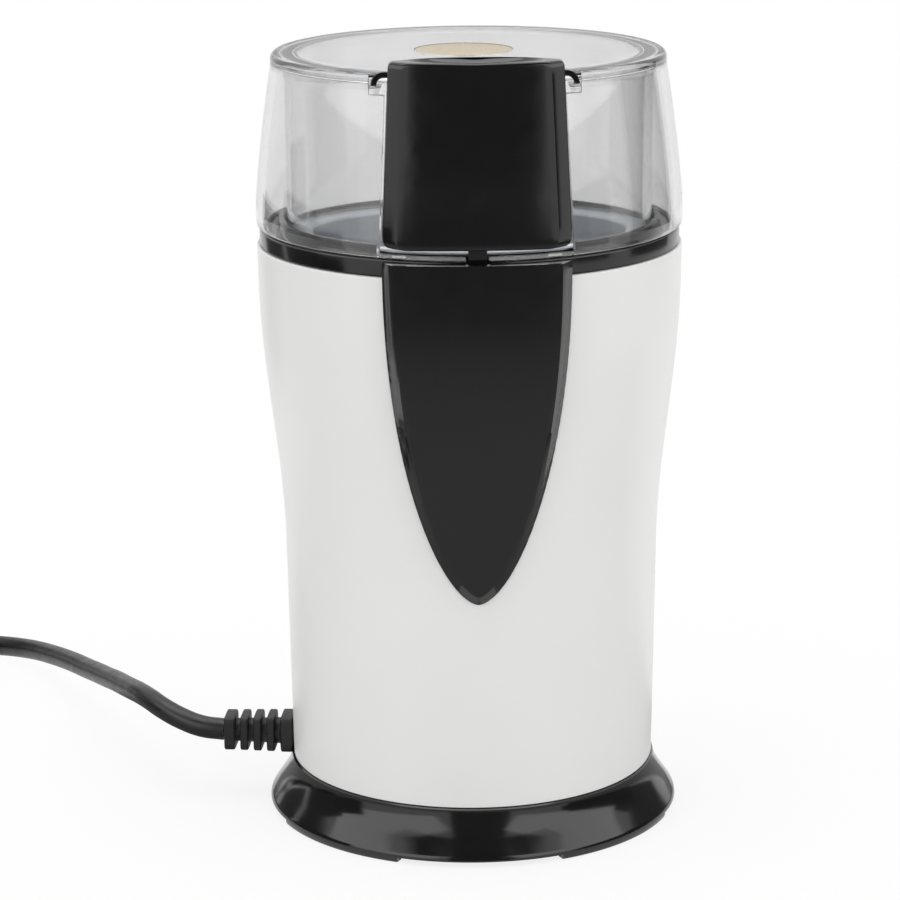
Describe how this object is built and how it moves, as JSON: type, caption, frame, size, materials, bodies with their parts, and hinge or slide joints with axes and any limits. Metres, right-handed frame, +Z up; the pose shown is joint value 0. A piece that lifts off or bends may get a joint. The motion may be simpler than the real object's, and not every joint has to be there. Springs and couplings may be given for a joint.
{
  "type": "electric spice grinder",
  "caption": "Hand-sized electric spice grinder: waisted white housing, flared black base, smoked clear lid with sprung press bar, steel bowl, twisted blade, motor and mains lead.",
  "frame": {"origin": "centre of the base on the table, under the motor axis", "axes": "+Z up along the motor axis, the press bar and front panel face -Y, +X to the right seen from the front"},
  "size_m": [0.2688, 0.1749, 0.187],
  "materials": {
    "shell_white": "white semi-gloss ABS moulding",
    "gloss_black": "high-gloss black ABS moulding",
    "satin_black": "fine-textured black moulding",
    "smoke_clear": "lightly smoked transparent styrene",
    "pale_gold": "pale gold anodised aluminium disc",
    "bowl_steel": "deep-drawn stainless steel, fine circular brushing",
    "blade_steel": "ground stainless spring steel",
    "bright_steel": "bright zinc plating",
    "shaft_steel": "ground steel",
    "lamination": "stacked electrical steel",
    "copper": "enamelled copper wire",
    "brass_part": "stamped brass",
    "bronze": "oil-filled sintered bronze",
    "carbon": "pressed carbon",
    "rubber_black": "soft black rubber",
    "rubber_grey": "grey silicone",
    "bracket_black": "glass-filled nylon",
    "fan_white": "natural nylon",
    "rod_white": "acetal",
    "button_red": "red thermoplastic",
    "wire_brown": "insulated wire",
    "cord_black": "satin PVC sheath",
    "plug_black": "fine-grained moulded PVC",
    "pin_plated": "nickel-plated brass"
  },
  "bodies": {
    "body": {"body_shell": "shell_white", "front_panel": "gloss_black", "top_collar": "satin_black", "bowl_gasket": "rubber_grey", "grinding_bowl": "bowl_steel", "shaft_seal": "rubber_black", "base_ring": "gloss_black", "bottom_cover": "satin_black", "rubber_feet": "rubber_black", "cover_screws": "bright_steel", "upper_bracket": "bracket_black", "lower_bracket": "bracket_black", "motor_damper": "rubber_black", "motor_screws": "bright_steel", "upper_bushing": "bronze", "lower_bushing": "bronze", "stator_core": "lamination", "field_coils": "copper", "brush_holders": "brass_part", "carbon_brushes": "carbon", "brush_springs": "bright_steel", "plunger_spring": "bright_steel", "microswitch": "bracket_black", "switch_leads": "wire_brown", "strain_relief": "rubber_black", "lead_end": "cord_black", "lead_clamp": "bracket_black", "cord_lead": "cord_black", "cord_coil": "cord_black", "cord_tail": "cord_black", "cord_tie": "rubber_black", "plug_body": "plug_black", "plug_pins": "pin_plated"},
    "rotor": {"drive_shaft": "shaft_steel", "thrust_washers": "fan_white", "armature_core": "lamination", "armature_windings": "copper", "commutator": "copper", "cooling_fan": "fan_white", "grinding_blade": "blade_steel", "blade_nut": "satin_black"},
    "lid": {"lid_shell": "smoke_clear", "lid_disc": "pale_gold", "bar_spring": "bright_steel"},
    "press_bar": {"press_bar": "gloss_black"},
    "plunger": {"switch_plunger": "rod_white"},
    "switch_button": {"switch_button": "button_red"}
  },
  "joints": [
    {"name": "motor_spin", "type": "hinge", "parent": "body", "child": "rotor", "pos_m": [0, 0, 0.1], "axis": [0, 0, 1], "continuous": true},
    {"name": "lid_lift", "type": "slide", "parent": "body", "child": "lid", "axis": [0, 0, 1], "range_m": [0, 0.09]},
    {"name": "bar_press", "type": "slide", "parent": "lid", "child": "press_bar", "axis": [0, 0, -1], "range_m": [0, 0.002], "stiffness_N_per_m": 600, "springref_m": -0.002, "deforming": ["bar_spring"]},
    {"name": "plunger_slide", "type": "slide", "parent": "body", "child": "plunger", "axis": [0, 0, -1], "range_m": [0, 0.002], "stiffness_N_per_m": 120, "springref_m": -0.002, "deforming": ["plunger_spring"]},
    {"name": "switch_press", "type": "slide", "parent": "body", "child": "switch_button", "axis": [0, 0, -1], "range_m": [0, 0.001]}
  ],
  "couplings": [
    {"joint": "plunger_slide", "follows": "bar_press", "ratio": 1},
    {"joint": "switch_press", "follows": "bar_press", "ratio": 0.5}
  ]
}
